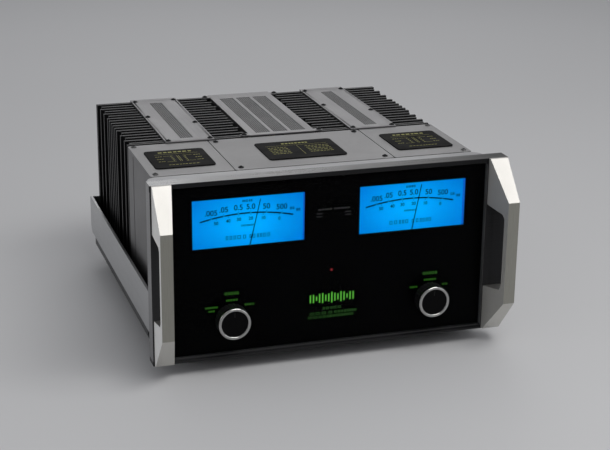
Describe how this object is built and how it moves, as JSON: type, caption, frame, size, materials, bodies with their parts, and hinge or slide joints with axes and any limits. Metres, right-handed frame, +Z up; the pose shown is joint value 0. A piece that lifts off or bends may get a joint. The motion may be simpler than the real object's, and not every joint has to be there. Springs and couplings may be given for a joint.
{
  "type": "power amplifier",
  "caption": "Stereo power amplifier with a glass front, backlit needle meters, rotary knobs, cast handles, transformer covers, finned heatsinks and a rear connector panel.",
  "frame": {"origin": "middle of the footprint, on the ground under the feet", "axes": "+Z up, +Y to the rear, +X to the right seen from the front; the front face looks along -Y"},
  "size_m": [0.4444, 0.513, 0.24],
  "materials": {
    "chassis_paint": "satin powder coat",
    "rail_metal": "fine brushed satin",
    "shroud_metal": "satin lacquered sheet",
    "rear_paint": "satin powder coat",
    "foot_rubber": "matt",
    "zinc_steel": "bright zinc",
    "frame_aluminium": "brushed along its length",
    "panel_black": "gloss black",
    "front_glass": "polished",
    "handle_satin": "fine satin",
    "bolt_black": "black oxide",
    "housing_white": "matt",
    "dial_blue": "backlit translucent",
    "movement_metal": "turned",
    "backlight_board": "matt",
    "led_red": "clear red",
    "circuit_board": "solder resist",
    "cover_metal": "satin lacquered sheet",
    "nameplate_black": "back-painted gloss",
    "heatsink_black": "black anodised",
    "vent_aluminium": "brushed along its length",
    "grille_steel": "perforated, matt",
    "transformer_can": "lacquered",
    "core_steel": "varnished laminations",
    "capacitor_sleeve": "shrink sleeve",
    "device_black": "moulded",
    "gold_plate": "gold plated",
    "connector_black": "moulded",
    "knob_black": "moulded",
    "ring_chrome": "polished",
    "needle_black": "matt",
    "cap_red": "moulded",
    "cap_black": "moulded"
  },
  "bodies": {
    "amplifier": {"chassis_tray": "chassis_paint", "side_rail_left": "rail_metal", "side_rail_right": "rail_metal", "front_shroud": "shroud_metal", "rear_panel": "rear_paint", "feet": "foot_rubber", "foot_screws": "zinc_steel", "front_frame": "frame_aluminium", "sub_panel": "panel_black", "front_glass": "front_glass", "handle_left": "handle_satin", "handle_right": "handle_satin", "handle_bolts": "bolt_black", "meter_housing_left": "housing_white", "meter_housing_right": "housing_white", "meter_dial_left": "dial_blue", "meter_dial_right": "dial_blue", "meter_movements": "movement_metal", "meter_backlights": "backlight_board", "rotary_switches": "zinc_steel", "standby_led": "led_red", "display_board": "circuit_board", "autoformer_cover_left": "cover_metal", "autoformer_cover_right": "cover_metal", "transformer_cover": "cover_metal", "nameplate_left": "nameplate_black", "nameplate_center": "nameplate_black", "nameplate_right": "nameplate_black", "heatsink_outer_left": "heatsink_black", "heatsink_inner_left": "heatsink_black", "heatsink_inner_right": "heatsink_black", "heatsink_outer_right": "heatsink_black", "vent_strip_left": "vent_aluminium", "vent_strip_right": "vent_aluminium", "vent_plate": "vent_aluminium", "vent_grilles": "grille_steel", "case_screws": "bolt_black", "power_transformer": "transformer_can", "output_autoformers": "core_steel", "filter_capacitors": "capacitor_sleeve", "power_supply_board": "circuit_board", "amplifier_boards": "circuit_board", "output_transistors": "device_black", "speaker_posts": "gold_plate", "balanced_inputs": "connector_black", "rca_inputs": "gold_plate", "power_inlet": "connector_black"},
    "meter_selector": {"meter_knob": "knob_black", "meter_knob_ring": "ring_chrome"},
    "power_selector": {"power_knob": "knob_black", "power_knob_ring": "ring_chrome"},
    "needle_left": {"meter_needle_left": "needle_black"},
    "needle_right": {"meter_needle_right": "needle_black"},
    "input_lever": {"input_selector": "zinc_steel"},
    "post_cap_left_1": {"post_cap_left_1": "cap_black"},
    "post_cap_left_2": {"post_cap_left_2": "cap_red"},
    "post_cap_left_3": {"post_cap_left_3": "cap_red"},
    "post_cap_right_1": {"post_cap_right_1": "cap_black"},
    "post_cap_right_2": {"post_cap_right_2": "cap_red"},
    "post_cap_right_3": {"post_cap_right_3": "cap_red"}
  },
  "joints": [
    {"name": "meter_knob_turn", "type": "hinge", "parent": "amplifier", "child": "meter_selector", "pos_m": [-0.1265, -0.22, 0.0663], "axis": [0, 1, 0], "range_deg": [-45, 45]},
    {"name": "power_knob_turn", "type": "hinge", "parent": "amplifier", "child": "power_selector", "pos_m": [0.1265, -0.22, 0.0663], "axis": [0, 1, 0], "range_deg": [-45, 45]},
    {"name": "needle_left_swing", "type": "hinge", "parent": "amplifier", "child": "needle_left", "pos_m": [-0.1028, -0.198, 0.1395], "axis": [0, 1, 0], "range_deg": [-63, 37]},
    {"name": "needle_right_swing", "type": "hinge", "parent": "amplifier", "child": "needle_right", "pos_m": [0.1028, -0.198, 0.1395], "axis": [0, 1, 0], "range_deg": [-61, 39]},
    {"name": "input_selector_slide", "type": "slide", "parent": "amplifier", "child": "input_lever", "axis": [1, 0, 0], "range_m": [0, 0.0042]},
    {"name": "post_cap_left_1_slide", "type": "slide", "parent": "amplifier", "child": "post_cap_left_1", "axis": [0, 1, 0], "range_m": [0, 0.008]},
    {"name": "post_cap_left_2_slide", "type": "slide", "parent": "amplifier", "child": "post_cap_left_2", "axis": [0, 1, 0], "range_m": [0, 0.008]},
    {"name": "post_cap_left_3_slide", "type": "slide", "parent": "amplifier", "child": "post_cap_left_3", "axis": [0, 1, 0], "range_m": [0, 0.008]},
    {"name": "post_cap_right_1_slide", "type": "slide", "parent": "amplifier", "child": "post_cap_right_1", "axis": [0, 1, 0], "range_m": [0, 0.008]},
    {"name": "post_cap_right_2_slide", "type": "slide", "parent": "amplifier", "child": "post_cap_right_2", "axis": [0, 1, 0], "range_m": [0, 0.008]},
    {"name": "post_cap_right_3_slide", "type": "slide", "parent": "amplifier", "child": "post_cap_right_3", "axis": [0, 1, 0], "range_m": [0, 0.008]}
  ]
}
